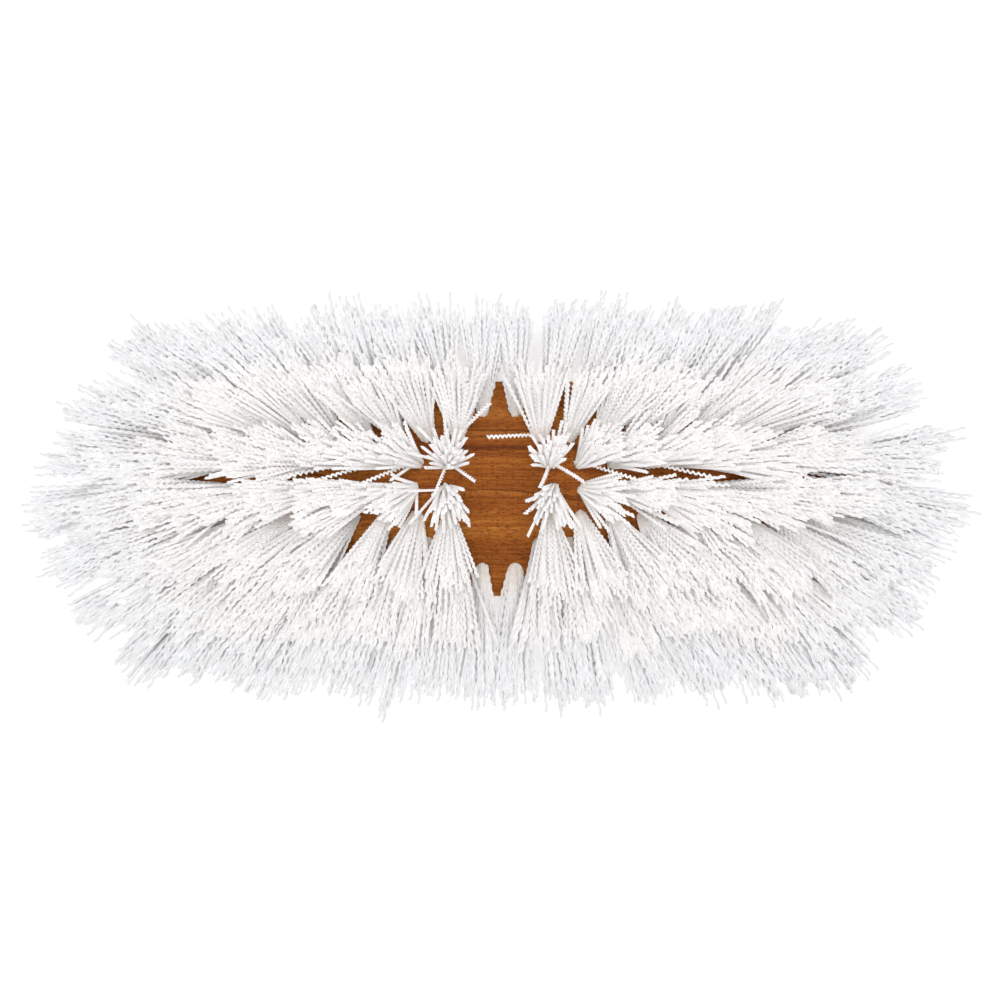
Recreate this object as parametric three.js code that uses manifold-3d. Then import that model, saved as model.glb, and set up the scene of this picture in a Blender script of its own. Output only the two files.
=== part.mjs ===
// Deck brush head: an oiled beech block filled with rows of white crimped bristle, set out round a bare middle.
// Units are millimetres. The brush lies on its back: X runs along the block, Y across it, and Z out of the
// bristle face. The flat back rests on Z = 0, under the middle of the brush.
import * as THREE from "three";
import { mergeGeometries, mergeVertices } from "three/addons/utils/BufferGeometryUtils.js";
import Module from "manifold-3d";

const wasm = await Module();
wasm.setup();

// Block
const BLOCK_LENGTH = 254;
const BLOCK_WIDTH = 75;
const BLOCK_THICKNESS = 25;
const BLOCK_CORNER_RADIUS = 34;
const EDGE_ROUND = 3.6;
const EDGE_STEPS = 3;
const CORNER_STEPS = 8;

// Handle socket: a tapered blind hole in the back, leaning towards +Y as it goes in
const SOCKET_MOUTH_RADIUS = 12.5;
const SOCKET_END_RADIUS = 11;
const SOCKET_DEPTH = 18;
const SOCKET_LEAN = THREE.MathUtils.degToRad(25);
const SOCKET_MOUTH_Y = -4;
const SOCKET_SIDES = 24;

// Tuft rows, from the +Y edge to the -Y edge, each in a left and a right half
const ROW_YS = [28.4, 19.2, 9.75, 0, -9.75, -19.2, -28.4];
const TUFTS_IN_HALF_ROW = [9, 10, 10, 10, 10, 10, 9];
const BARE_HALF_LENGTH = 18.6;
const BARE_HALF_WIDTH = 29.8;
const LAST_TUFT_X = 119;
const ROW_SHORTENING = 0.0285;

// Bristle: how long it stands out of the face, and how far it leans, in degrees. Across the block each row has
// its own lean, part of which is lost towards the ends. Along the block the tufts at the bare middle lean a
// little inwards, and the others outwards.
const BRISTLE_LENGTH = 62;
const ROW_LEANS = [27, 20, 7.6, -1.2, -14, -21.5, -28];
const ROW_LEAN_LOSSES = [0.4, 0.5, 0.6, 0.75, 0.5, 0.45, 0.4];
const INNER_LEAN = -1.5;
const END_LEAN = 14;

// Strands: each tuft's bristle in three bundles, close together at the hole and spread at the tips
const STRANDS_IN_TUFT = 3;
const STRAND_SIDES = 3;
const STRAND_ROOT = { spread: 1.65, radius: 1.3 };
const STRAND_NECK = { spread: 1.9, radius: 1.35 };
const STRAND_TIP = { spread: 4.8, radius: 1.15 };
const STRAND_ROOT_DEPTH = 1.5;
const STRAND_NECK_SHARE = 0.22;
const TUFT_TURN = 0.65;

// Backing slices that carry the strands, let into the face
const SLICE_THICKNESS = 3;
const SLICE_MARGIN = 3.3;
const FIT_GAP = 0.3;

// Anchors: flat wire on edge under each half row, with one deep plate for each tuft
const ANCHOR_THICKNESS = 0.5;
const ANCHOR_PLATE_LENGTH = 6.4;
const ANCHOR_PLATE_HEIGHT = 2.6;
const ANCHOR_LINK_HEIGHT = 0.9;

const BEECH = new THREE.MeshStandardMaterial({ color: "#97592b", roughness: 0.48, metalness: 0 });
const BRISTLE = new THREE.MeshStandardMaterial({ color: "#f3f1ee", roughness: 0.55, metalness: 0 });
const STEEL = new THREE.MeshStandardMaterial({ color: "#b4b7ba", roughness: 0.35, metalness: 0.9 });

const SIDES = [
  { name: "left", sign: -1 },
  { name: "right", sign: 1 },
];
const BANKS = [
  { name: "upper", rows: [2, 1, 0], outward: 1 },
  { name: "lower", rows: [3, 4, 5, 6], outward: -1 },
];

function solidOf(geometry) {
  const bare = geometry.clone();
  bare.deleteAttribute("normal");
  bare.deleteAttribute("uv");
  const welded = mergeVertices(bare);
  const vertProperties = new Float32Array(welded.attributes.position.array);
  const triVerts = new Uint32Array(welded.index.array);
  return new wasm.Manifold(new wasm.Mesh({ numProp: 3, vertProperties, triVerts }));
}

function geometryOf(solid) {
  const mesh = solid.getMesh();
  const geometry = new THREE.BufferGeometry();
  geometry.setAttribute("position", new THREE.BufferAttribute(mesh.vertProperties, 3));
  geometry.setIndex(new THREE.BufferAttribute(mesh.triVerts, 1));
  geometry.computeVertexNormals();
  return geometry;
}

function namedMesh(name, geometry, material) {
  const mesh = new THREE.Mesh(geometry, material);
  mesh.name = name;
  return mesh;
}

// The drilling plan: where each half row starts at the bare middle, and where it ends
function firstTuftX(y) {
  return BARE_HALF_LENGTH * Math.sqrt(1 - (y / BARE_HALF_WIDTH) ** 2);
}

function lastTuftX(y) {
  return LAST_TUFT_X - ROW_SHORTENING * y ** 2;
}

function tuftXs(row) {
  const y = ROW_YS[row];
  const count = TUFTS_IN_HALF_ROW[row];
  const pitch = (lastTuftX(y) - firstTuftX(y)) / (count - 1);
  return Array.from({ length: count }, (_, index) => firstTuftX(y) + pitch * index);
}

// From a tuft's hole to the middle of its tips
function tuftReach(row, x) {
  const xs = tuftXs(row);
  const share = (x - xs[0]) / (xs.at(-1) - xs[0]);
  const lengthwise = THREE.MathUtils.degToRad(INNER_LEAN + (END_LEAN - INNER_LEAN) * Math.sqrt(share));
  const kept = 1 - ROW_LEAN_LOSSES[row] * (x / LAST_TUFT_X) ** 2;
  const crosswise = THREE.MathUtils.degToRad(ROW_LEANS[row] * kept);
  return new THREE.Vector3(Math.tan(lengthwise), Math.tan(crosswise), 1).setLength(BRISTLE_LENGTH);
}

// One strand: a ring of corners level with the face at its root, its neck and its tip
function strandGeometry(rings) {
  const positions = [];
  for (const { centre, radius, turn } of rings) {
    for (let corner = 0; corner < STRAND_SIDES; corner += 1) {
      const angle = turn + (2 * Math.PI * corner) / STRAND_SIDES;
      positions.push(centre.x + radius * Math.cos(angle), centre.y + radius * Math.sin(angle), centre.z);
    }
  }
  const indices = [];
  const topRing = (rings.length - 1) * STRAND_SIDES;
  for (let corner = 1; corner < STRAND_SIDES - 1; corner += 1) {
    indices.push(0, corner + 1, corner);
    indices.push(topRing, topRing + corner, topRing + corner + 1);
  }
  for (let ring = 0; ring < rings.length - 1; ring += 1) {
    for (let corner = 0; corner < STRAND_SIDES; corner += 1) {
      const low = ring * STRAND_SIDES + corner;
      const lowNext = ring * STRAND_SIDES + ((corner + 1) % STRAND_SIDES);
      indices.push(low, lowNext, lowNext + STRAND_SIDES);
      indices.push(low, lowNext + STRAND_SIDES, low + STRAND_SIDES);
    }
  }
  const geometry = new THREE.BufferGeometry();
  geometry.setAttribute("position", new THREE.Float32BufferAttribute(positions, 3));
  geometry.setIndex(indices);
  return geometry;
}

function tuftStrands(row, x, tuftTurn, sign) {
  const reach = tuftReach(row, x);
  const levels = [
    { share: -STRAND_ROOT_DEPTH / reach.z, ...STRAND_ROOT },
    { share: STRAND_NECK_SHARE, ...STRAND_NECK },
    { share: 1, ...STRAND_TIP },
  ];
  const strands = [];
  for (let index = 0; index < STRANDS_IN_TUFT; index += 1) {
    const outward = tuftTurn + (2 * Math.PI * index) / STRANDS_IN_TUFT;
    const turn = sign > 0 ? outward : Math.PI - outward;
    const rings = levels.map(({ share, spread, radius }) => {
      const centre = new THREE.Vector3(x, ROW_YS[row], BLOCK_THICKNESS).addScaledVector(reach, share);
      centre.x = sign * (centre.x + spread * Math.cos(outward));
      centre.y += spread * Math.sin(outward);
      return { centre, radius, turn };
    });
    strands.push(strandGeometry(rings));
  }
  return strands;
}

// A bank's slice of the face, from the parting line between the two banks out to the block's edge. It steps
// round the bank's last tufts and stops at the bare middle.
function sliceShape({ rows, outward }, sign, margin) {
  const step = outward * margin;
  const corner = (x, y) => new THREE.Vector2(sign * x, y);
  const ys = rows.map((row) => ROW_YS[row]);
  const outer = ys.map((y) => corner(lastTuftX(y) + margin, y + step));
  const inner = ys.map((y) => corner(firstTuftX(y) - margin, y - step));
  const parting = corner(lastTuftX(ys[0]) + margin, ys[0] - step);
  const edge = corner(firstTuftX(ys.at(-1)) - margin, ys.at(-1) + step);
  return new THREE.Shape([parting, ...outer, edge, ...inner.reverse()]);
}

function slicePlate(bank, sign, margin, depth) {
  const plate = new THREE.ExtrudeGeometry(sliceShape(bank, sign, margin), { depth, bevelEnabled: false });
  return plate.translate(0, 0, BLOCK_THICKNESS - depth);
}

function bristleBank(bank, sign) {
  const strands = bank.rows.flatMap((row) =>
    tuftXs(row).flatMap((x, index) => tuftStrands(row, x, TUFT_TURN * index, sign)),
  );
  const slice = solidOf(slicePlate(bank, sign, SLICE_MARGIN, SLICE_THICKNESS));
  return geometryOf(slice.add(solidOf(mergeGeometries(strands))));
}

// An anchor strip's outline: a thin link along the half row, with a deep plate below it at each tuft
const ANCHOR_TOP = BLOCK_THICKNESS - SLICE_THICKNESS - 2 * FIT_GAP;

function anchorGeometry(row, sign) {
  const halfPlate = ANCHOR_PLATE_LENGTH / 2;
  const xs = tuftXs(row);
  const outline = [
    new THREE.Vector2(xs.at(-1) + halfPlate, 0),
    new THREE.Vector2(xs[0] - halfPlate, 0),
  ];
  for (const x of xs) {
    outline.push(new THREE.Vector2(x - halfPlate, -ANCHOR_LINK_HEIGHT));
    outline.push(new THREE.Vector2(x - halfPlate, -ANCHOR_PLATE_HEIGHT));
    outline.push(new THREE.Vector2(x + halfPlate, -ANCHOR_PLATE_HEIGHT));
    outline.push(new THREE.Vector2(x + halfPlate, -ANCHOR_LINK_HEIGHT));
  }
  const shape = new THREE.Shape(outline.map(({ x, y }) => new THREE.Vector2(sign * x, y)));
  const strip = new THREE.ExtrudeGeometry(shape, { depth: ANCHOR_THICKNESS, bevelEnabled: false });
  strip.translate(0, 0, -ANCHOR_THICKNESS / 2);
  strip.rotateX(Math.PI / 2);
  return strip.translate(0, ROW_YS[row], ANCHOR_TOP);
}

// The slot that an anchor strip lies in, under its bank's slice
function anchorSlot(row, sign) {
  const xs = tuftXs(row);
  const reach = ANCHOR_PLATE_LENGTH / 2 + FIT_GAP;
  const low = xs[0] - reach;
  const high = xs.at(-1) + reach;
  const bottom = ANCHOR_TOP - ANCHOR_PLATE_HEIGHT - FIT_GAP;
  const height = BLOCK_THICKNESS - bottom;
  const slot = new THREE.BoxGeometry(high - low, ANCHOR_THICKNESS + 2 * FIT_GAP, height);
  return slot.translate((sign * (low + high)) / 2, ROW_YS[row], bottom + height / 2);
}

function roundedRectangle(length, width, radius) {
  const x = length / 2 - radius;
  const y = width / 2 - radius;
  const shape = new THREE.Shape();
  shape.absarc(x, y, radius, 0, Math.PI / 2);
  shape.absarc(-x, y, radius, Math.PI / 2, Math.PI);
  shape.absarc(-x, -y, radius, Math.PI, 1.5 * Math.PI);
  shape.absarc(x, -y, radius, 1.5 * Math.PI, 2 * Math.PI);
  return shape;
}

function blankGeometry() {
  const trim = 2 * EDGE_ROUND;
  const outline = roundedRectangle(
    BLOCK_LENGTH - trim,
    BLOCK_WIDTH - trim,
    BLOCK_CORNER_RADIUS - EDGE_ROUND,
  );
  const blank = new THREE.ExtrudeGeometry(outline, {
    depth: BLOCK_THICKNESS - trim,
    bevelSize: EDGE_ROUND,
    bevelThickness: EDGE_ROUND,
    bevelSegments: EDGE_STEPS,
    curveSegments: CORNER_STEPS,
  });
  return blank.translate(0, 0, EDGE_ROUND);
}

// The socket's cutter starts a mouth's radius outside the back, so that its slanted mouth comes out whole
function socketCutter() {
  const runOut = SOCKET_MOUTH_RADIUS;
  const length = SOCKET_DEPTH + runOut;
  const slope = (SOCKET_MOUTH_RADIUS - SOCKET_END_RADIUS) / SOCKET_DEPTH;
  const outerRadius = SOCKET_MOUTH_RADIUS + slope * runOut;
  const cutter = new THREE.CylinderGeometry(SOCKET_END_RADIUS, outerRadius, length, SOCKET_SIDES);
  cutter.translate(0, length / 2 - runOut, 0);
  cutter.rotateX(Math.PI / 2 - SOCKET_LEAN);
  return cutter.translate(0, SOCKET_MOUTH_Y, 0);
}

function blockGeometry() {
  let block = solidOf(blankGeometry()).subtract(solidOf(socketCutter()));
  for (const { sign } of SIDES) {
    for (const bank of BANKS) {
      const pocketDepth = SLICE_THICKNESS + FIT_GAP;
      const pocket = slicePlate(bank, sign, SLICE_MARGIN + FIT_GAP, pocketDepth);
      block = block.subtract(solidOf(pocket));
      for (const row of bank.rows) {
        block = block.subtract(solidOf(anchorSlot(row, sign)));
      }
    }
  }
  return geometryOf(block);
}

const brush = new THREE.Group();
brush.add(namedMesh("block", blockGeometry(), BEECH));
for (const side of SIDES) {
  for (const bank of BANKS) {
    const name = `bristle_bank_${side.name}_${bank.name}`;
    brush.add(namedMesh(name, bristleBank(bank, side.sign), BRISTLE));
  }
  for (let row = 0; row < TUFTS_IN_HALF_ROW.length; row += 1) {
    const name = `anchor_row_${row + 1}_${side.name}`;
    brush.add(namedMesh(name, anchorGeometry(row, side.sign), STEEL));
  }
}

export default brush;
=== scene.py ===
# Deck brush head lying on its back: an oiled beech block, drilled and filled with white crimped bristle.
import math

import bpy
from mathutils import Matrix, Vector


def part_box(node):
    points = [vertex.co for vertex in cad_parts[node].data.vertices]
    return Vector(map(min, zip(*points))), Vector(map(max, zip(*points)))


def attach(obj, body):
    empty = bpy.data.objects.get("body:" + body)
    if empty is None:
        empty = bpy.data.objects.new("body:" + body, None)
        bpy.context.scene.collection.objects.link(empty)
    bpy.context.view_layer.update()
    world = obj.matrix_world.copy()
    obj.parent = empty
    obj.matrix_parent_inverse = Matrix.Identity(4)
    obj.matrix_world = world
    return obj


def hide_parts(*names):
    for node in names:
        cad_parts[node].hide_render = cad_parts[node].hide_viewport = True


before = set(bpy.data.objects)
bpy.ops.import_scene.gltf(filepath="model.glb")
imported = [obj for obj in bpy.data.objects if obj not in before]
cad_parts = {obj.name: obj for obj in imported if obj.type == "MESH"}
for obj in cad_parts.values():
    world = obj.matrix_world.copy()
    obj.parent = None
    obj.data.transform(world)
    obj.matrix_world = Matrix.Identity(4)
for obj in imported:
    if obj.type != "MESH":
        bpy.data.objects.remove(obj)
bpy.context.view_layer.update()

MM = 0.001
SEED = 7

# Block, from the frame, with the round of its corners and edges
BLOCK_LOW, BLOCK_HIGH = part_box("block")
FACE_Z = BLOCK_HIGH.z
CORNER_RADIUS = 34 * MM
EDGE_ROUND = 3.6 * MM
CORNER_STEPS = 16
EDGE_STEPS = 7
FLAT_MARGIN = 0.5 * MM
SHARP_ANGLE = math.radians(35)

# Grain, in mm: how far the heart of the tree is aside of the block's middle and below its back, the width
# of a year ring, and the depth of the grain's relief
HEART_ASIDE = 46.0
HEART_BELOW = 95.0
RING_WIDTH = 9.5
GRAIN_DEPTH = 0.12

# Handle socket: a tapered blind hole in the back, leaning towards +Y as it goes in
SOCKET_MOUTH_RADIUS = 12.5 * MM
SOCKET_END_RADIUS = 11 * MM
SOCKET_DEPTH = 18 * MM
SOCKET_LEAN = math.radians(25)
SOCKET_MOUTH_Y = -4 * MM
SOCKET_SIDES = 64

# Tuft rows, from the +Y edge to the -Y edge, each in a left and a right half
ROW_Y = [28.4 * MM, 19.2 * MM, 9.75 * MM, 0, -9.75 * MM, -19.2 * MM, -28.4 * MM]
TUFTS_IN_HALF_ROW = [9, 10, 10, 10, 10, 10, 9]
BARE_HALF_LENGTH = 18.6 * MM
BARE_HALF_WIDTH = 29.8 * MM
LAST_TUFT_X = 119 * MM
ROW_SHORTENING = 0.0285 / MM
HOLE_RADIUS = 2.75 * MM
HOLE_DEPTH = 6.4 * MM
HOLE_SIDES = 28
MIDDLE_ROW = 3

# Bristle: its length out of the face, and how far it leans, in degrees. Across the block each row has its
# own lean, part of which is lost towards the ends. Along the block the tufts at the bare middle lean a
# little inwards, and the others outwards.
BRISTLE_LENGTH = 62 * MM
ROW_LEANS = [27, 20, 7.6, -1.2, -14, -21.5, -28]
ROW_LEAN_LOSS = [0.4, 0.5, 0.6, 0.75, 0.5, 0.45, 0.4]
INNER_LEAN = -1.5
END_LEAN = 14

# Filaments: they lie in locks, which keep their crimp in step. The values are those of a fully pressed tuft.
LOCKS = 18
LOCK_FILAMENTS = 4
LOCK_ROOT_RADIUS = 0.6 * MM
LOCK_TIP_RADIUS = 2.3 * MM
FILAMENT_RADIUS = 0.54 * MM
FILAMENT_SIDES = 3
CRIMPS = 26
CRIMP_HEIGHT = 0.21 * MM
LENGTH_SCATTER = 0.13
RIDGE_ANGLE = math.radians(60)
NORMAL_LIFT = 0.5
GOLDEN_TURN = math.pi * (3 - math.sqrt(5))

# Spread of a tuft: close at the hole and flared at the tips. Its inner side is squashed. The press of its
# neighbours squashes its outer side as well, fans its locks along its lean and sways it.
ROOT_RADIUS = 1.95 * MM
ROOT_DEPTH = 3 * MM
TIP_FLARE = 8.3 * MM
FLARE_CURVE = 1.0
OUTER_SQUASH = 0.45
INNER_SQUASH = 0.15
FAN = 0.72
TUFT_SWAY = 5 * MM
BEND = 1.3 * MM
STRAY_SHARE = 0.09
STRAY_REACH = 6 * MM

# Press: low on the first tuft at the bare middle, and higher by a step on the next ones, up to 1. Without
# press a tuft loses a share of its locks, and the filaments in a lock splay.
FREE_PRESS = 0.2
PRESS_STEP = 0.4
FREE_THINNING = 0.4
FREE_SPLAY = 0.4

# Numbers set aside for the random draws of a tuft's filaments, and of a filament's crimps
KEYS_IN_TUFT = 1000
KEYS_IN_FILAMENT = 50

# What a filament tells its material by its UV map: a tone, which varies at random and is higher at the rim,
# where it paints a cooler grey shade on the tips, and the place along it
TONE_LOW = 0.02
TONE_HIGH = 0.4
RIM_SHADE_TONE = 0.52
FACET_TONE = 0.04
TAG_MARGIN = 0.02

# Loose filaments, thinner and more crimped than the rest: side, row, tuft counted from the bare middle, and
# how far the tip stands off its hole along X and Y, in mm
LOOSE_RADIUS = 0.39 * MM
LOOSE_CRIMPS = 28
LOOSE_CRIMP_HEIGHT = 0.44 * MM
LOOSE_FILAMENTS = [
    ("right", 1, 0, -14.4, 2.7),
    ("right", 1, 0, 3.5, 21.0),
    ("left", 1, 0, 8.5, 13.0),
    ("left", 1, 0, 11.0, 11.0),
    ("left", 2, 0, 11.4, -3.1),
    ("left", 2, 0, -2.5, -8.0),
    ("right", 2, 0, -9.0, 7.5),
    ("right", 2, 0, -8.0, 5.5),
    ("right", 2, 0, -4.5, -5.5),
    ("right", 2, 0, 9.0, -2.0),
    ("right", 3, 0, -9.5, 0.5),
    ("right", 3, 0, -8.5, 3.5),
    ("right", 3, 0, -8.0, -2.5),
    ("left", 3, 0, 7.5, -4.0),
    ("left", 3, 0, -8.5, 4.5),
    ("left", 2, 1, -13.0, -2.6),
    ("left", 2, 2, -15.0, -1.2),
    ("left", 2, 3, -17.0, -2.0),
    ("left", 3, 1, -15.0, 6.6),
    ("left", 3, 2, -17.0, 7.9),
    ("left", 3, 3, -16.0, 6.9),
    ("left", 3, 4, -19.0, 7.6),
    ("right", 2, 1, 14.0, -2.2),
    ("right", 2, 3, 16.0, -1.6),
    ("right", 3, 1, 16.0, 7.3),
    ("right", 3, 2, 15.0, 6.4),
    ("right", 3, 2, 19.0, 8.3),
    ("right", 3, 3, 17.0, 7.2),
    ("right", 3, 5, 19.0, 7.8),
]

SIDES = {"left": -1, "right": 1}


class Wire:
    """A socket of a node tree. Sums and products on it add Math nodes, or Vector Math nodes for vectors."""

    def __init__(self, tree, socket):
        self.tree = tree
        self.socket = socket

    def output(self, name):
        """Another output of the same node."""
        found = next(s for s in self.socket.node.outputs if s.enabled and s.name == name)
        return Wire(self.tree, found)

    def number(self, operation, *values):
        return self.tree.add("ShaderNodeMath", {"operation": operation}, dict(enumerate(values)))

    def vector(self, operation, *values):
        return self.tree.add("ShaderNodeVectorMath", {"operation": operation}, dict(enumerate(values)))

    def joined(self, operation, left, right):
        vectors = [value for value in (left, right) if is_vector(value)]
        if not vectors:
            return self.number(operation, left, right)
        if operation == "MULTIPLY" and len(vectors) == 1:
            scale = right if is_vector(left) else left
            settings = {"operation": "SCALE"}
            return self.tree.add("ShaderNodeVectorMath", settings, {0: vectors[0], "Scale": scale})
        return self.vector(operation, left, right)

    def __add__(self, other):
        return self.joined("ADD", self, other)

    def __radd__(self, other):
        return self.joined("ADD", other, self)

    def __sub__(self, other):
        return self.joined("SUBTRACT", self, other)

    def __rsub__(self, other):
        return self.joined("SUBTRACT", other, self)

    def __mul__(self, other):
        return self.joined("MULTIPLY", self, other)

    def __rmul__(self, other):
        return self.joined("MULTIPLY", other, self)

    def __truediv__(self, other):
        return self.joined("DIVIDE", self, other)

    def __rtruediv__(self, other):
        return self.joined("DIVIDE", other, self)

    def __pow__(self, power):
        return self.number("POWER", self, power)


def is_vector(value):
    if isinstance(value, Wire):
        return value.socket.type == "VECTOR"
    return isinstance(value, (tuple, Vector))


class Tree:
    """A node tree that nodes are added to by type, settings and socket values."""

    def __init__(self, nodes):
        self.nodes = nodes

    def add(self, kind, settings=None, inputs=None):
        node = self.nodes.nodes.new(kind)
        for name, value in (settings or {}).items():
            if name == "stops":
                set_stops(node.color_ramp, value)
            else:
                setattr(node, name, value)
        for key, value in (inputs or {}).items():
            socket = node.inputs[key] if isinstance(key, int) else named_input(node, key)
            if isinstance(value, Wire):
                self.nodes.links.new(value.socket, socket)
            else:
                socket.default_value = value
        shown = [socket for socket in node.outputs if socket.enabled]
        return Wire(self, shown[0]) if shown else None

    def smooth(self, value, low, high):
        """0 below low and 1 above high, with a smooth step between them."""
        settings = {"interpolation_type": "SMOOTHSTEP"}
        return self.add("ShaderNodeMapRange", settings, {"Value": value, "From Min": low, "From Max": high})

    def mix(self, share, first, second):
        """The first colour where the share is 0, and the second where it is 1."""
        inputs = {"Factor": share, "A": first, "B": second}
        return self.add("ShaderNodeMix", {"data_type": "RGBA", "blend_type": "MIX"}, inputs)


def named_input(node, name):
    return next(socket for socket in node.inputs if socket.enabled and socket.name == name)


def set_stops(ramp, stops):
    while len(ramp.elements) < len(stops):
        ramp.elements.new(0.5)
    for element, (position, colour) in zip(ramp.elements, stops):
        element.position = position
        element.color = colour


def srgb(red, green, blue):
    """A colour written as 0 to 255 values, in linear light."""
    return tuple(((v / 255 + 0.055) / 1.055) ** 2.4 for v in (red, green, blue)) + (1.0,)


def link(piece):
    bpy.context.scene.collection.objects.link(piece)
    return piece


def new_material(name):
    material = bpy.data.materials.new(name)
    material.use_nodes = True
    material.node_tree.nodes.clear()
    return material, Tree(material.node_tree)


def close_material(tree, shader):
    tree.add("ShaderNodeOutputMaterial", None, {"Surface": shader})


# Geometry Nodes


def geometry_tree(name, kinds):
    """A tree that takes a geometry and the named inputs. Returns it with the wires of its inputs."""
    group = bpy.data.node_groups.new(name, "GeometryNodeTree")
    group.interface.new_socket("Geometry", in_out="INPUT", socket_type="NodeSocketGeometry")
    for label, kind in kinds.items():
        group.interface.new_socket(label, in_out="INPUT", socket_type=f"NodeSocket{kind}")
    group.interface.new_socket("Geometry", in_out="OUTPUT", socket_type="NodeSocketGeometry")
    tree = Tree(group)
    entry = group.nodes.new("NodeGroupInput")
    return tree, {socket.name: Wire(tree, socket) for socket in entry.outputs if socket.name}


def close_geometry(tree, geometry, material):
    """Ends a tree in plain, finished geometry."""
    plain = tree.add("GeometryNodeRealizeInstances", None, {"Geometry": geometry})
    finished = tree.add("GeometryNodeSetMaterial", None, {"Geometry": plain, "Material": material})
    tree.add("NodeGroupOutput", None, {"Geometry": finished})


def plain_mesh(piece):
    """Turns what the piece's modifiers make into its own mesh."""
    bpy.context.view_layer.update()
    depsgraph = bpy.context.evaluated_depsgraph_get()
    made = piece.evaluated_get(depsgraph)
    mesh = bpy.data.meshes.new_from_object(made, preserve_all_data_layers=True, depsgraph=depsgraph)
    piece.modifiers.clear()
    piece.data = mesh
    return piece


def grown(name, seed_mesh, tree, values):
    """A piece that a Geometry Nodes tree grows from a seed mesh."""
    piece = link(bpy.data.objects.new(name, seed_mesh))
    modifier = piece.modifiers.new("grow", "NODES")
    modifier.node_group = tree.nodes
    for item in tree.nodes.interface.items_tree:
        if item.in_out == "INPUT" and item.name in values:
            modifier[item.identifier] = values[item.name]
    return plain_mesh(piece)


# The drilling plan


def first_tuft_x(y):
    return BARE_HALF_LENGTH * math.sqrt(1 - (y / BARE_HALF_WIDTH) ** 2)


def last_tuft_x(y):
    return LAST_TUFT_X - ROW_SHORTENING * y**2


def half_row(row, side):
    """The tufts of half a row, from the bare middle outwards.

    Each has its hole, its reach, how near the rim it is and how hard its neighbours press it.
    """
    y = ROW_Y[row]
    count = TUFTS_IN_HALF_ROW[row]
    pitch = (last_tuft_x(y) - first_tuft_x(y)) / (count - 1)
    tufts = []
    for index in range(count):
        share = index / (count - 1)
        x = first_tuft_x(y) + pitch * index
        lengthwise = math.radians(INNER_LEAN + (END_LEAN - INNER_LEAN) * math.sqrt(share))
        kept = 1 - ROW_LEAN_LOSS[row] * (x / LAST_TUFT_X) ** 2
        crosswise = math.radians(ROW_LEANS[row] * kept)
        reach = Vector((side * math.tan(lengthwise), math.tan(crosswise), 1))
        reach.length = BRISTLE_LENGTH
        rim = max(abs(row - MIDDLE_ROW) / MIDDLE_ROW, share) ** 3
        press = min(1.0, FREE_PRESS + PRESS_STEP * index)
        tufts.append((Vector((side * x, y, FACE_Z)), reach, rim, press))
    return tufts


def store(mesh, name, kind, field, values):
    """Gives each point of a mesh a named value."""
    points = mesh.attributes.new(name, kind, "POINT").data
    for point, value in zip(points, values):
        setattr(point, field, value)


def tuft_seeds(name, tufts, first_number):
    """A mesh of one point for each tuft, which carries the tuft's values."""
    holes, reaches, rims, presses = zip(*tufts)
    mesh = bpy.data.meshes.new(name)
    mesh.from_pydata(holes, [], [])
    store(mesh, "reach", "FLOAT_VECTOR", "vector", reaches)
    store(mesh, "rim", "FLOAT", "value", rims)
    store(mesh, "press", "FLOAT", "value", presses)
    store(mesh, "number", "INT", "value", range(first_number, first_number + len(tufts)))
    return mesh


def attribute(tree, name, kind):
    return tree.add("GeometryNodeInputNamedAttribute", {"data_type": kind}, {"Name": name})


# Bristle


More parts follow.
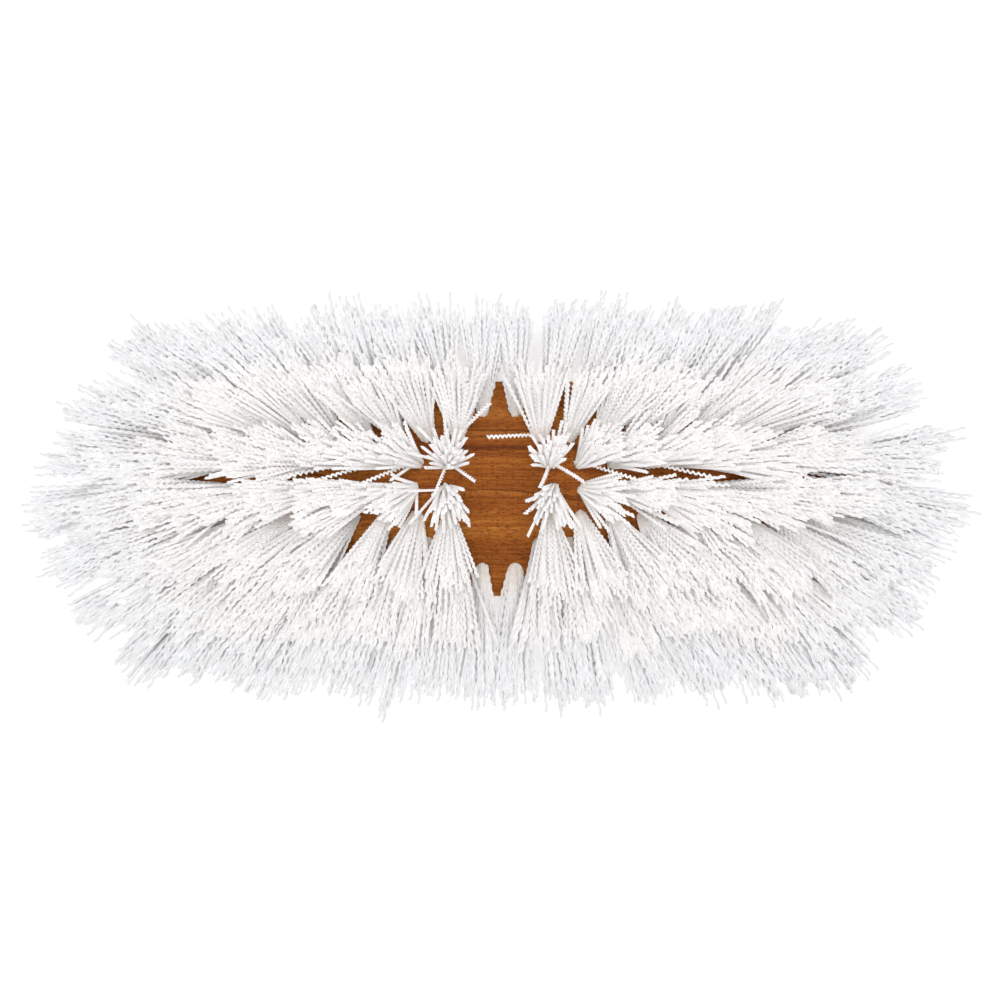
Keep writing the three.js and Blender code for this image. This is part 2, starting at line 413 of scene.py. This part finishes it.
def bristle_tree():
    """Each tuft's point becomes a bundle of crimped filaments, close at the hole and spread at the tips."""
    tree, given = geometry_tree("crimped_bristle", {
        "Locks": "Int",
        "Lock Filaments": "Int",
        "Crimps": "Int",
        "Filament Radius": "Float",
        "Root Radius": "Float",
        "Root Depth": "Float",
        "Tip Flare": "Float",
        "Flare Curve": "Float",
        "Outer Squash": "Float",
        "Inner Squash": "Float",
        "Fan": "Float",
        "Free Thinning": "Float",
        "Free Splay": "Float",
        "Lock Root Radius": "Float",
        "Lock Tip Radius": "Float",
        "Crimp Height": "Float",
        "Length Scatter": "Float",
        "Bend": "Float",
        "Tuft Sway": "Float",
        "Sides": "Int",
        "Ridge Angle": "Float",
        "Normal Lift": "Float",
        "Stray Share": "Float",
        "Stray Reach": "Float",
        "Seed": "Int",
        "Material": "Material",
    })
    reach = attribute(tree, "reach", "FLOAT_VECTOR")
    rim = attribute(tree, "rim", "FLOAT")
    press = attribute(tree, "press", "FLOAT")
    number = attribute(tree, "number", "INT")

    seeds = tree.add("GeometryNodeMeshToPoints", None, {"Mesh": given["Geometry"], "Radius": 1.0})
    free = 1 - press
    kept = given["Locks"] * (1 - free * given["Free Thinning"])
    locks = kept.number("ROUND", kept)
    copies = {"Geometry": seeds, "Amount": locks * given["Lock Filaments"]}
    bundle = tree.add("GeometryNodeDuplicateElements", {"domain": "POINT"}, copies)
    filament = bundle.output("Duplicate Index")
    copies = {"Geometry": bundle, "Amount": given["Crimps"] + 1}
    points = tree.add("GeometryNodeDuplicateElements", {"domain": "POINT"}, copies)
    step = points.output("Duplicate Index")
    along = step / given["Crimps"]
    lock = filament.number("FLOOR", filament / given["Lock Filaments"])
    member = filament - lock * given["Lock Filaments"]
    key = number * KEYS_IN_TUFT + filament
    lock_key = number * KEYS_IN_TUFT + lock

    def chance(draw, low, high, identity=key):
        """A random value for each filament, or for each lock, tuft or crimp if that is the identity."""
        inputs = {"Min": low, "Max": high, "ID": identity, "Seed": given["Seed"] + draw}
        return tree.add("FunctionNodeRandomValue", {"data_type": "FLOAT"}, inputs)

    axis = reach.vector("NORMALIZE", reach)
    full_length = reach.vector("LENGTH", reach).output("Value")
    level = reach.vector("MULTIPLY", reach, (1, 1, 0))
    aside = axis.vector("NORMALIZE", axis.vector("CROSS_PRODUCT", axis, level))
    outward = axis.vector("CROSS_PRODUCT", aside, axis)

    def round_axis(angle):
        """The direction square to the tuft's axis at an angle round it from the way it leans."""
        return outward * angle.number("COSINE", angle) + aside * angle.number("SINE", angle)

    scatter = chance(1, -0.7, 0.2) + chance(18, -0.2, 0.2, number)
    length = full_length * (1 + given["Length Scatter"] * scatter)
    height = along * (length + given["Root Depth"]) - given["Root Depth"]
    rise = height.number("MAXIMUM", height / full_length, 0)

    # Locks stand in a sunflower pattern round the tuft's axis, and filaments in one round their lock
    turn = lock * GOLDEN_TURN + chance(0, 0, math.tau, number)
    place = ((lock + 0.5) / locks) ** 0.5
    tuft_flare = given["Tip Flare"] * chance(13, 0.85, 1.15, number)
    tip_spread = tuft_flare * place * chance(3, 0.8, 1.1, lock_key)
    root_spread = given["Root Radius"] * place
    lean_share = turn.number("COSINE", turn)
    inner = turn.number("LESS_THAN", lean_share, 0)
    outer_squash = 1 - press * (1 - given["Outer Squash"])
    squash = outer_squash + inner * (given["Inner Squash"] - outer_squash)
    opening = rise ** given["Flare Curve"]
    fan = tuft_flare * press * given["Fan"] * chance(19, -1, 1, lock_key) * rise
    along_lean = lean_share * (root_spread + (tip_spread * squash - root_spread) * opening) + fan
    across_lean = turn.number("SINE", turn) * (root_spread + (tip_spread - root_spread) * opening)

    member_turn = member * GOLDEN_TURN + chance(14, 0, math.tau, lock_key)
    member_place = ((member + 0.5) / given["Lock Filaments"]) ** 0.5
    lock_growth = (given["Lock Tip Radius"] - given["Lock Root Radius"]) * chance(15, 0.6, 1.4)
    splay = 1 + free * given["Free Splay"]
    lock_spread = (given["Lock Root Radius"] + lock_growth * rise) * member_place * splay

    bend_turn = chance(4, 0, math.tau, lock_key)
    bend = round_axis(bend_turn) * (given["Bend"] * chance(5, 0, 1, lock_key) * rise ** 2)
    stray = rise.number("LESS_THAN", chance(2, 0, 1), given["Stray Share"])
    stray_turn = chance(16, 0, math.tau)
    astray = round_axis(stray_turn) * (stray * given["Stray Reach"] * chance(17, 0.4, 1) * rise)
    sway_turn = chance(11, 0, math.tau, number)
    sway = round_axis(sway_turn) * (given["Tuft Sway"] * chance(12, 0, 1, number) * press * rise)

    crimp_key = key * KEYS_IN_FILAMENT + step
    swing = step.number("MODULO", step, 2) * 2 - 1
    wave = swing * chance(6, 0.8, 1.2) * chance(7, 0.9, 1.1, crimp_key)
    crimp_turn = math.pi / 2 + chance(8, -0.7, 0.7, number) + chance(9, -0.5, 0.5, lock_key)
    crimp = round_axis(crimp_turn) * (wave * given["Crimp Height"])

    hole = tree.add("GeometryNodeInputPosition")
    bundle_place = outward * along_lean + aside * across_lean + round_axis(member_turn) * lock_spread
    position = hole + axis * height + bundle_place + bend + astray + sway + crimp
    placed = tree.add("GeometryNodeSetPosition", None, {"Geometry": points, "Position": position})
    inputs = {"Points": placed, "Curve Group ID": key, "Weight": step}
    curves = tree.add("GeometryNodePointsToCurves", None, inputs)

    inputs = {"Resolution": given["Sides"], "Radius": given["Filament Radius"]}
    ring = tree.add("GeometryNodeCurvePrimitiveCircle", {"mode": "RADIUS"}, inputs)
    corner = tree.add("GeometryNodeInputIndex")
    settings = {"data_type": "FLOAT", "domain": "POINT"}
    ring = tree.add("GeometryNodeStoreNamedAttribute", settings, {
        "Geometry": ring, "Name": "corner", "Value": corner / given["Sides"],
    })
    inputs = {"Curve": curves, "Profile Curve": ring, "Fill Caps": True}
    tubes = tree.add("GeometryNodeCurveToMesh", None, inputs)
    fold = tree.add("GeometryNodeInputMeshEdgeAngle")
    ridge = fold.number("GREATER_THAN", fold, given["Ridge Angle"])
    smoothed = tree.add("GeometryNodeSetShadeSmooth", {"domain": "FACE"}, {
        "Geometry": tubes, "Shade Smooth": True,
    })
    facets = tree.add("GeometryNodeSetShadeSmooth", {"domain": "EDGE"}, {
        "Geometry": smoothed, "Selection": ridge, "Shade Smooth": False,
    })

    facing = tree.add("GeometryNodeInputNormal")
    upright = facing * (1 - given["Normal Lift"]) + axis * given["Normal Lift"]
    lit = tree.add("GeometryNodeSetMeshNormal", {"mode": "FREE", "domain": "CORNER"}, {
        "Mesh": facets, "Custom Normal": upright.vector("NORMALIZE", upright),
    })

    facet = attribute(tree, "corner", "FLOAT")
    # The rim term of the tone paints a cool grey shade on the tufts at the rim.
    tone = chance(10, TONE_LOW, TONE_HIGH) + rim * RIM_SHADE_TONE + facet * FACET_TONE
    tag_place = along * (1 - 2 * TAG_MARGIN) + TAG_MARGIN
    tag = tree.add("ShaderNodeCombineXYZ", None, {"X": tone, "Y": tag_place, "Z": 0.0})
    settings = {"data_type": "FLOAT2", "domain": "CORNER"}
    inputs = {"Geometry": lit, "Name": "OFBake", "Value": tag}
    tagged = tree.add("GeometryNodeStoreNamedAttribute", settings, inputs)
    for name in ("corner", "reach", "rim", "press", "number"):
        tagged = tree.add("GeometryNodeRemoveAttribute", None, {"Geometry": tagged, "Name": name})
    close_geometry(tree, tagged, given["Material"])
    return tree


def loose_filaments(side_name):
    """Single filaments that stand away from their tufts, at the bare middle and along the slit."""
    strays = []
    for name, row, tuft, tip_x, tip_y in LOOSE_FILAMENTS:
        if name == side_name:
            hole = half_row(row, SIDES[name])[tuft][0]
            tip_z = math.sqrt(BRISTLE_LENGTH**2 - (tip_x * MM) ** 2 - (tip_y * MM) ** 2)
            strays.append((hole, Vector((tip_x * MM, tip_y * MM, tip_z)), 0.0, 0.0))
    return strays


def bristle_material():
    """White filament, with painted shade: warmer and darker near the root, where it also paints the wood's
    reflected colour, a cooler grey towards the tip in the tufts at the rim, and a little darker on the cut
    ends.
    """
    material, tree = new_material("white_filament")
    tag = tree.add("ShaderNodeUVMap", {"uv_map": "OFBake"})
    parts = tree.add("ShaderNodeSeparateXYZ", None, {"Vector": tag})
    tone = parts.output("X")
    along = parts.output("Y")
    # The tone varies at random, and its rim term makes the rim's filaments a little greyer: painted shade.
    body = tree.mix(tone, srgb(252, 250, 249), srgb(249, 248, 248))
    # Painted shade and painted reflection of the wood: a warmer, darker tint near the root.
    root_shaded = tree.mix(1 - tree.smooth(along, 0.05, 0.4), body, srgb(245, 238, 232))
    # Painted shade: the tips of the tufts at the rim turn a cooler grey.
    rim_tip_shade = tree.smooth(along, 0.45, 1.0) * tree.smooth(tone, 0.35, 1.0)
    rim_tip_shaded = tree.mix(rim_tip_shade, root_shaded, srgb(246, 247, 249))
    # Painted shade: the cut ends, which face the lamp, are a slightly darker grey.
    cut = tree.mix(tree.smooth(along, 0.978, 0.9795), rim_tip_shaded, srgb(244, 244, 244))
    shader = tree.add("ShaderNodeBsdfPrincipled", None, {
        "Base Color": cut,
        "Roughness": 0.5,
        "Diffuse Roughness": 0.5,
        "Specular IOR Level": 0.25,
        "Sheen Weight": 0.15,
        "Sheen Roughness": 0.8,
    })
    close_material(tree, shader)
    return material


def make_bristle():
    tree = bristle_tree()
    material = bristle_material()
    values = {
        "Locks": LOCKS,
        "Lock Filaments": LOCK_FILAMENTS,
        "Crimps": CRIMPS,
        "Filament Radius": FILAMENT_RADIUS,
        "Root Radius": ROOT_RADIUS,
        "Root Depth": ROOT_DEPTH,
        "Tip Flare": TIP_FLARE,
        "Flare Curve": FLARE_CURVE,
        "Outer Squash": OUTER_SQUASH,
        "Inner Squash": INNER_SQUASH,
        "Fan": FAN,
        "Free Thinning": FREE_THINNING,
        "Free Splay": FREE_SPLAY,
        "Lock Root Radius": LOCK_ROOT_RADIUS,
        "Lock Tip Radius": LOCK_TIP_RADIUS,
        "Crimp Height": CRIMP_HEIGHT,
        "Length Scatter": LENGTH_SCATTER,
        "Bend": BEND,
        "Tuft Sway": TUFT_SWAY,
        "Sides": FILAMENT_SIDES,
        "Ridge Angle": RIDGE_ANGLE,
        "Normal Lift": NORMAL_LIFT,
        "Stray Share": STRAY_SHARE,
        "Stray Reach": STRAY_REACH,
        "Seed": SEED,
        "Material": material,
    }
    loose = values | {
        "Locks": 1,
        "Lock Filaments": 1,
        "Crimps": LOOSE_CRIMPS,
        "Filament Radius": LOOSE_RADIUS,
        "Root Radius": 0.0,
        "Tip Flare": 0.0,
        "Free Thinning": 0.0,
        "Lock Root Radius": 0.0,
        "Lock Tip Radius": 0.0,
        "Crimp Height": LOOSE_CRIMP_HEIGHT,
    }
    number = 0
    for side_name, side in SIDES.items():
        for row in range(len(TUFTS_IN_HALF_ROW)):
            tufts = half_row(row, side)
            bank = "upper" if row < MIDDLE_ROW else "lower"
            name = f"bristle_row_{row + 1}_{side_name}"
            finish_bristle(grown(name, tuft_seeds(name, tufts, number), tree, values), side_name, bank)
            number += len(tufts)
        strays = loose_filaments(side_name)
        name = f"loose_filaments_{side_name}"
        finish_bristle(grown(name, tuft_seeds(name, strays, number), tree, loose), side_name, "upper")
        number += len(strays)


def finish_bristle(piece, side_name, bank):
    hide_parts(f"bristle_bank_{side_name}_{bank}")
    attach(piece, "root")


# Block


def outline(inset):
    """The block's rounded outline, drawn in by an inset."""
    half = (BLOCK_HIGH - BLOCK_LOW) / 2
    radius = CORNER_RADIUS - inset
    points = []
    for quarter, (x_sign, y_sign) in enumerate([(1, 1), (-1, 1), (-1, -1), (1, -1)]):
        centre = (x_sign * (half.x - CORNER_RADIUS), y_sign * (half.y - CORNER_RADIUS))
        for step in range(CORNER_STEPS + 1):
            angle = (quarter + step / CORNER_STEPS) * math.pi / 2
            points.append((centre[0] + radius * math.cos(angle), centre[1] + radius * math.sin(angle)))
    return points


def loft(name, rings):
    """A closed mesh through rings of equal count, capped at both ends."""
    count = len(rings[0])
    vertices = [point for ring in rings for point in ring]
    faces = [tuple(reversed(range(count)))]
    for ring in range(len(rings) - 1):
        for corner in range(count):
            low = ring * count
            following = (corner + 1) % count
            faces.append((low + corner, low + following, low + count + following, low + count + corner))
    faces.append(tuple(range((len(rings) - 1) * count, len(rings) * count)))
    mesh = bpy.data.meshes.new(name)
    mesh.from_pydata(vertices, [], faces)
    mesh.validate()
    return mesh


def block_blank():
    """The block before drilling: rounded edges, with a narrow flat ring inside each round."""
    levels = [(EDGE_ROUND + FLAT_MARGIN, 0)]
    for step in range(EDGE_STEPS + 1):
        angle = step / EDGE_STEPS * math.pi / 2
        levels.append((EDGE_ROUND * (1 - math.sin(angle)), EDGE_ROUND * (1 - math.cos(angle))))
    top = [(inset, FACE_Z - z) for inset, z in reversed(levels)]
    rings = [[(x, y, z) for x, y in outline(inset)] for inset, z in levels + top]
    return loft("blank", rings)


def socket_bit():
    """The tapered cutter of the handle socket, which runs out past the back to cut a clean mouth."""
    slope = (SOCKET_MOUTH_RADIUS - SOCKET_END_RADIUS) / SOCKET_DEPTH
    run_out = SOCKET_MOUTH_RADIUS
    levels = [(-run_out, SOCKET_MOUTH_RADIUS + slope * run_out), (SOCKET_DEPTH, SOCKET_END_RADIUS)]
    rings = []
    for depth, radius in levels:
        ring = []
        for corner in range(SOCKET_SIDES):
            angle = math.tau * corner / SOCKET_SIDES
            across = radius * math.sin(angle)
            y = SOCKET_MOUTH_Y + depth * math.sin(SOCKET_LEAN) + across * math.cos(SOCKET_LEAN)
            z = depth * math.cos(SOCKET_LEAN) - across * math.sin(SOCKET_LEAN)
            ring.append((radius * math.cos(angle), y, z))
        rings.append(ring)
    return loft("socket_bit", rings)


def drill_tree():
    """A drill bit stands in every tuft's place, along the tuft's reach."""
    tree, given = geometry_tree("tuft_drill", {
        "Hole Radius": "Float", "Hole Depth": "Float", "Sides": "Int", "Material": "Material",
    })
    reach = attribute(tree, "reach", "FLOAT_VECTOR")
    inputs = {"Vertices": given["Sides"], "Radius": given["Hole Radius"], "Depth": given["Hole Depth"] * 2}
    bit = tree.add("GeometryNodeMeshCylinder", None, inputs)
    along = tree.add("FunctionNodeAlignRotationToVector", {"axis": "Z"}, {"Vector": reach})
    inputs = {"Points": given["Geometry"], "Instance": bit, "Rotation": along}
    bits = tree.add("GeometryNodeInstanceOnPoints", None, inputs)
    close_geometry(tree, bits, given["Material"])
    return tree


def cut(piece, cutter):
    """Takes the cutter's shape out of the piece."""
    modifier = piece.modifiers.new("cut", "BOOLEAN")
    modifier.operation = "DIFFERENCE"
    modifier.solver = "EXACT"
    modifier.object = cutter
    plain_mesh(piece)
    bpy.data.objects.remove(cutter)


def all_tufts():
    rows = range(len(TUFTS_IN_HALF_ROW))
    return [tuft for side in SIDES.values() for row in rows for tuft in half_row(row, side)]


def beech_material():
    """Satin oiled beech along X: light and dark bands, ring lines, fine grain and short dark flecks."""
    material, tree = new_material("oiled_beech")
    metres = tree.add("ShaderNodeTexCoord").output("Object")
    place = metres * (1 / MM)
    parts = tree.add("ShaderNodeSeparateXYZ", None, {"Vector": place})
    x, y, z = (parts.output(axis) for axis in "XYZ")

    def noise(stretch, detail=2.0, roughness=0.5):
        vector = place.vector("MULTIPLY", place, stretch)
        inputs = {"Vector": vector, "Scale": 1.0, "Detail": detail, "Roughness": roughness}
        return tree.add("ShaderNodeTexNoise", None, inputs)

    sway = noise((0.012, 0.03, 0.03), 1.0)
    across = y + HEART_ASIDE
    through = z + HEART_BELOW
    radius = (across * across + through * through) ** 0.5 + sway * 9.0 + x * 0.015
    ring = tree.add("ShaderNodeMath", {"operation": "FRACT"}, {0: radius / RING_WIDTH})
    early = tree.smooth(ring, 0.84, 0.95) * (1 - tree.smooth(ring, 0.95, 0.97))
    late = tree.smooth(ring, 0.95, 0.97) * (1 - tree.smooth(ring, 0.98, 1.0))
    band = noise((0.008, 0.17, 0.17), 2.0)
    streak = noise((0.02, 0.9, 0.9), 3.0)
    grain = noise((0.22, 3.4, 3.4), 3.0, 0.65)

    vector = place.vector("MULTIPLY", place, (0.56, 3.2, 3.2))
    cells = tree.add("ShaderNodeTexVoronoi", None, {"Vector": vector, "Scale": 1.0})
    pick = tree.add("ShaderNodeSeparateColor", None, {"Color": cells.output("Color")})
    crowd = tree.smooth(noise((0.015, 0.08, 0.08), 1.0), 0.4, 0.6)
    fleck = (1 - tree.smooth(cells, 0.22, 0.5)) * tree.smooth(pick + crowd * 0.5, 0.46, 0.62)

    tone = tree.add("ShaderNodeMapRange", None, {
        "Value": band * 0.35 + streak * 0.3 + grain * 0.35, "From Min": 0.38, "From Max": 0.62,
    })
    stops = [(0.0, srgb(110, 53, 9)), (0.5, srgb(158, 86, 23)), (1.0, srgb(194, 121, 46))]
    bare = tree.add("ShaderNodeValToRGB", {"stops": stops}, {"Fac": tone})
    lined = tree.mix(late * 0.6, tree.mix(early * 0.45, bare, srgb(190, 118, 48)), srgb(88, 42, 12))
    flecked = tree.mix(fleck * 0.75, lined, srgb(82, 34, 9))
    rough = 0.46 + grain * 0.16 + fleck * 0.1
    relief = grain * 0.5 - fleck * 0.6
    inputs = {"Height": relief, "Strength": 0.25, "Distance": GRAIN_DEPTH * MM}
    normal = tree.add("ShaderNodeBump", None, inputs)
    shader = tree.add("ShaderNodeBsdfPrincipled", None, {
        "Base Color": flecked, "Roughness": rough, "Normal": normal, "Specular IOR Level": 0.1,
    })
    close_material(tree, shader)
    return material


def make_block():
    wood = beech_material()
    block = link(bpy.data.objects.new("drilled_block", block_blank()))
    block.data.materials.append(wood)
    cut(block, link(bpy.data.objects.new("socket_bit", socket_bit())))
    tufts = all_tufts()
    values = {"Hole Radius": HOLE_RADIUS, "Hole Depth": HOLE_DEPTH, "Sides": HOLE_SIDES, "Material": wood}
    cut(block, grown("tuft_drills", tuft_seeds("tuft_drills", tufts, 0), drill_tree(), values))
    block.data.shade_smooth()
    block.data.set_sharp_from_angle(angle=SHARP_ANGLE)
    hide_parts("block")
    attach(block, "root")


# Anchors


def steel_material():
    """Bright flat wire, drawn along X."""
    material, tree = new_material("anchor_wire")
    place = tree.add("ShaderNodeTexCoord").output("Object")
    vector = place.vector("MULTIPLY", place, (300.0, 6000.0, 9000.0))
    drawn = tree.add("ShaderNodeTexNoise", None, {"Vector": vector, "Scale": 1.0, "Detail": 2.0})
    colour = tree.mix(drawn, srgb(150, 152, 155), srgb(196, 198, 201))
    shader = tree.add("ShaderNodeBsdfPrincipled", None, {
        "Base Color": colour, "Metallic": 1.0, "Roughness": 0.25 + drawn * 0.25,
    })
    close_material(tree, shader)
    return material


def finish_anchors():
    steel = steel_material()
    for name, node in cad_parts.items():
        if name.startswith("anchor_row"):
            node.data.materials.clear()
            node.data.materials.append(steel)


# Stage: floor, light and camera. The floor's glow grows with distance, so that it meets the white
# background. The softbox hangs over the camera, so that its light falls into the gaps between the tufts.

CAMERA_HEIGHT = 450 * MM
CAMERA_PLACE = Vector((0.4 * MM, 34.5 * MM, FACE_Z + CAMERA_HEIGHT))
CAMERA_AIM = Vector((0.4 * MM, -3.4 * MM, FACE_Z))
CAMERA_LENS = 46.98
SENSOR_WIDTH = 36
CLIP_START = 10 * MM
FLOOR_SIZE = 6.0
FLOOR_GLOW = 0.5
FAR_GLOW = 0.4
SOFTBOX_SIZE = 0.16
SOFTBOX_HEIGHT = 0.9
SOFTBOX_Y = 0.07
SOFTBOX_POWER = 3.65
SKY_LIGHT = 0.48
LIGHT_BOUNCES = 12


def seen(tree):
    """1 for what is seen directly, in a mirror or through glass, and 0 for light on the object."""
    path = tree.add("ShaderNodeLightPath")
    direct = path.output("Is Camera Ray")
    mirrored = path.output("Is Glossy Ray")
    through = path.output("Is Transmission Ray")
    return path.number("MAXIMUM", direct, path.number("MAXIMUM", mirrored, through))


def make_floor():
    half = FLOOR_SIZE / 2
    mesh = bpy.data.meshes.new("floor")
    corners = [(-half, -half, 0), (half, -half, 0), (half, half, 0), (-half, half, 0)]
    mesh.from_pydata(corners, [], [(0, 1, 2, 3)])
    material, tree = new_material("pale_floor")
    shader = tree.add("ShaderNodeBsdfPrincipled", None, {
        "Base Color": srgb(226, 226, 228), "Roughness": 0.9, "Specular IOR Level": 0.0,
    })
    place = tree.add("ShaderNodeTexCoord").output("Object")
    distance = place.vector("LENGTH", place).output("Value")
    strength = seen(tree) * (FLOOR_GLOW + distance * FAR_GLOW)
    glow = tree.add("ShaderNodeEmission", None, {"Strength": strength})
    close_material(tree, tree.add("ShaderNodeAddShader", None, {0: shader, 1: glow}))
    mesh.materials.append(material)
    link(bpy.data.objects.new("floor", mesh))


def make_light():
    world = bpy.data.worlds.new("studio")
    world.use_nodes = True
    world.node_tree.nodes.clear()
    tree = Tree(world.node_tree)
    share = seen(tree)
    strength = share + (1 - share) * SKY_LIGHT
    sky = tree.add("ShaderNodeBackground", None, {"Color": (1, 1, 1, 1), "Strength": strength})
    tree.add("ShaderNodeOutputWorld", None, {"Surface": sky})
    bpy.context.scene.world = world
    lamp = bpy.data.lights.new("softbox", "AREA")
    lamp.size = SOFTBOX_SIZE
    lamp.energy = SOFTBOX_POWER
    softbox = link(bpy.data.objects.new("softbox", lamp))
    softbox.location = (0, SOFTBOX_Y, SOFTBOX_HEIGHT)
    bpy.context.scene.cycles.max_bounces = LIGHT_BOUNCES
    bpy.context.scene.cycles.diffuse_bounces = LIGHT_BOUNCES


def make_camera():
    lens = bpy.data.cameras.new("camera")
    lens.lens = CAMERA_LENS
    lens.sensor_width = SENSOR_WIDTH
    lens.clip_start = CLIP_START
    camera = link(bpy.data.objects.new("camera", lens))
    camera.location = CAMERA_PLACE
    camera.rotation_euler.x = math.atan2(CAMERA_AIM.y - CAMERA_PLACE.y, CAMERA_HEIGHT)
    bpy.context.scene.camera = camera


make_camera()
make_floor()
make_light()
make_block()
make_bristle()
finish_anchors()
bpy.context.scene.view_settings.view_transform = "Standard"
